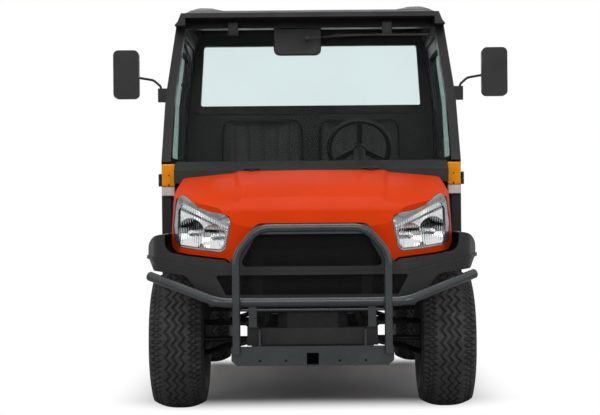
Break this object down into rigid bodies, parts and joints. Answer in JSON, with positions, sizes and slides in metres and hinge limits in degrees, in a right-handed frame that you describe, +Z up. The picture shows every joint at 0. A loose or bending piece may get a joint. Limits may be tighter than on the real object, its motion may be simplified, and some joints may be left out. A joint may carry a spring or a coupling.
{
  "type": "side by side utility vehicle",
  "caption": "Two-seat side by side utility vehicle with a hard glazed cab, tipping cargo bed, tube front guard, hinged hood and doors, and steered front wheels.",
  "frame": {"origin": "on the ground under the middle of the vehicle's length and width", "axes": "+Z up, nose towards -Y, the driver's side towards +X"},
  "size_m": [1.916, 3.215, 2.0031],
  "materials": {
    "frame_paint": "satin",
    "guard_paint": "satin",
    "body_paint": "gloss",
    "black_plastic": "matte",
    "cab_paint": "satin",
    "clear_glass": "clear",
    "lamp_glass": "clear",
    "lamp_chrome": "polished",
    "signal_lens": "gloss",
    "tail_lens": "gloss",
    "tyre_rubber": "matte",
    "rim_steel": "satin",
    "bright_steel": "satin",
    "cast_metal": "rough",
    "seat_vinyl": "matte",
    "bed_paint": "gloss"
  },
  "bodies": {
    "root": {"frame_rails": "frame_paint", "frame_crossmembers": "frame_paint", "front_tower": "frame_paint", "bed_frame": "frame_paint", "drivetrain": "cast_metal", "engine_block": "cast_metal", "wishbones_front": "frame_paint", "wishbones_rear": "frame_paint", "rear_hub_carriers": "cast_metal", "spring_legs": "frame_paint", "rack_housing": "cast_metal", "front_guard": "guard_paint", "front_hitch_plate": "guard_paint", "front_fascia": "black_plastic", "grille": "black_plastic", "cowl": "black_plastic", "cab_frame": "cab_paint", "rear_wall": "cab_paint", "cab_glass": "clear_glass", "floor_tub": "black_plastic", "roof": "black_plastic", "door_hinges": "cab_paint", "seat_cushions": "seat_vinyl", "seat_backs": "seat_vinyl", "seat_base": "black_plastic", "dashboard": "black_plastic", "driver_controls": "black_plastic", "signal_lamps": "signal_lens", "mirrors": "black_plastic", "lift_foot": "frame_paint", "rear_bumper": "frame_paint", "front_panel": "black_plastic", "wiper": "black_plastic", "tail_lamps": "tail_lens"},
    "knuckle_left": {"knuckle_left": "cast_metal"},
    "knuckle_right": {"knuckle_right": "cast_metal"},
    "wheel_front_left": {"tyre_front_left": "tyre_rubber", "rim_front_left": "rim_steel"},
    "wheel_front_right": {"tyre_front_right": "tyre_rubber", "rim_front_right": "rim_steel"},
    "wheel_rear_left": {"tyre_rear_left": "tyre_rubber", "rim_rear_left": "rim_steel"},
    "wheel_rear_right": {"tyre_rear_right": "tyre_rubber", "rim_rear_right": "rim_steel"},
    "steering_wheel": {"steering_wheel": "black_plastic"},
    "steering_rack": {"tie_rods": "bright_steel"},
    "hood": {"hood": "body_paint", "hood_hinges": "cab_paint", "headlamp_lenses": "lamp_glass", "headlamp_bowls": "lamp_chrome"},
    "door_left": {"door_left": "cab_paint", "door_glass_left": "clear_glass"},
    "door_right": {"door_right": "cab_paint", "door_glass_right": "clear_glass"},
    "bed": {"cargo_bed": "bed_paint"},
    "tailgate": {"tailgate": "bed_paint"},
    "lift_barrel": {"lift_barrel": "frame_paint"},
    "lift_rod": {"lift_rod": "bright_steel"}
  },
  "joints": [
    {"name": "steer_left", "type": "hinge", "parent": "root", "child": "knuckle_left", "pos_m": [0.5575, -0.9375, 0.3175], "axis": [0, 0, 1], "range_deg": [-30, 30]},
    {"name": "steer_right", "type": "hinge", "parent": "root", "child": "knuckle_right", "pos_m": [-0.5575, -0.9375, 0.3175], "axis": [0, 0, 1], "range_deg": [-30, 30]},
    {"name": "steering_wheel_turn", "type": "hinge", "parent": "root", "child": "steering_wheel", "pos_m": [0.249, -0.2175, 1.238], "axis": [0, 0.866, 0.5], "range_deg": [-540, 540]},
    {"name": "rack_slide", "type": "slide", "parent": "root", "child": "steering_rack", "axis": [1, 0, 0], "range_m": [-0.045, 0.045]},
    {"name": "wheel_front_left_spin", "type": "hinge", "parent": "knuckle_left", "child": "wheel_front_left", "pos_m": [0.6175, -0.9375, 0.3175], "axis": [1, 0, 0], "continuous": true},
    {"name": "wheel_front_right_spin", "type": "hinge", "parent": "knuckle_right", "child": "wheel_front_right", "pos_m": [-0.6175, -0.9375, 0.3175], "axis": [1, 0, 0], "continuous": true},
    {"name": "wheel_rear_left_spin", "type": "hinge", "parent": "root", "child": "wheel_rear_left", "pos_m": [0.6175, 1.1075, 0.3175], "axis": [1, 0, 0], "continuous": true},
    {"name": "wheel_rear_right_spin", "type": "hinge", "parent": "root", "child": "wheel_rear_right", "pos_m": [-0.6175, 1.1075, 0.3175], "axis": [1, 0, 0], "continuous": true},
    {"name": "hood_hinge", "type": "hinge", "parent": "root", "child": "hood", "pos_m": [0, -0.715, 1.12], "axis": [-1, 0, 0], "range_deg": [0, 50]},
    {"name": "door_left_hinge", "type": "hinge", "parent": "root", "child": "door_left", "pos_m": [0.748, -0.5445, 1], "axis": [0, 0, -1], "range_deg": [0, 75]},
    {"name": "door_right_hinge", "type": "hinge", "parent": "root", "child": "door_right", "pos_m": [-0.748, -0.5445, 1], "axis": [0, 0, 1], "range_deg": [0, 75]},
    {"name": "bed_tilt", "type": "hinge", "parent": "root", "child": "bed", "pos_m": [0, 1.4125, 0.715], "axis": [-1, 0, 0], "range_deg": [0, 45]},
    {"name": "tailgate_hinge", "type": "hinge", "parent": "bed", "child": "tailgate", "pos_m": [0, 1.5895, 0.838], "axis": [-1, 0, 0], "range_deg": [0, 90]},
    {"name": "lift_barrel_swing", "type": "hinge", "parent": "root", "child": "lift_barrel", "pos_m": [-0.33, 0.4825, 0.4], "axis": [1, 0, 0], "range_deg": [0, 11]},
    {"name": "lift_rod_slide", "type": "slide", "parent": "lift_barrel", "child": "lift_rod", "axis": [0, 0.8561, 0.5169], "range_m": [0, 0.2717]}
  ],
  "couplings": [
    {"joint": "steer_right", "follows": "steer_left", "ratio": 1},
    {"joint": "steering_wheel_turn", "follows": "steer_left", "ratio": 18},
    {"joint": "rack_slide", "follows": "steer_left", "m_per_rad": 0.0859},
    {"joint": "lift_barrel_swing", "follows": "bed_tilt", "ratio": 0.24444},
    {"joint": "lift_rod_slide", "follows": "bed_tilt", "m_per_rad": 0.3459}
  ]
}
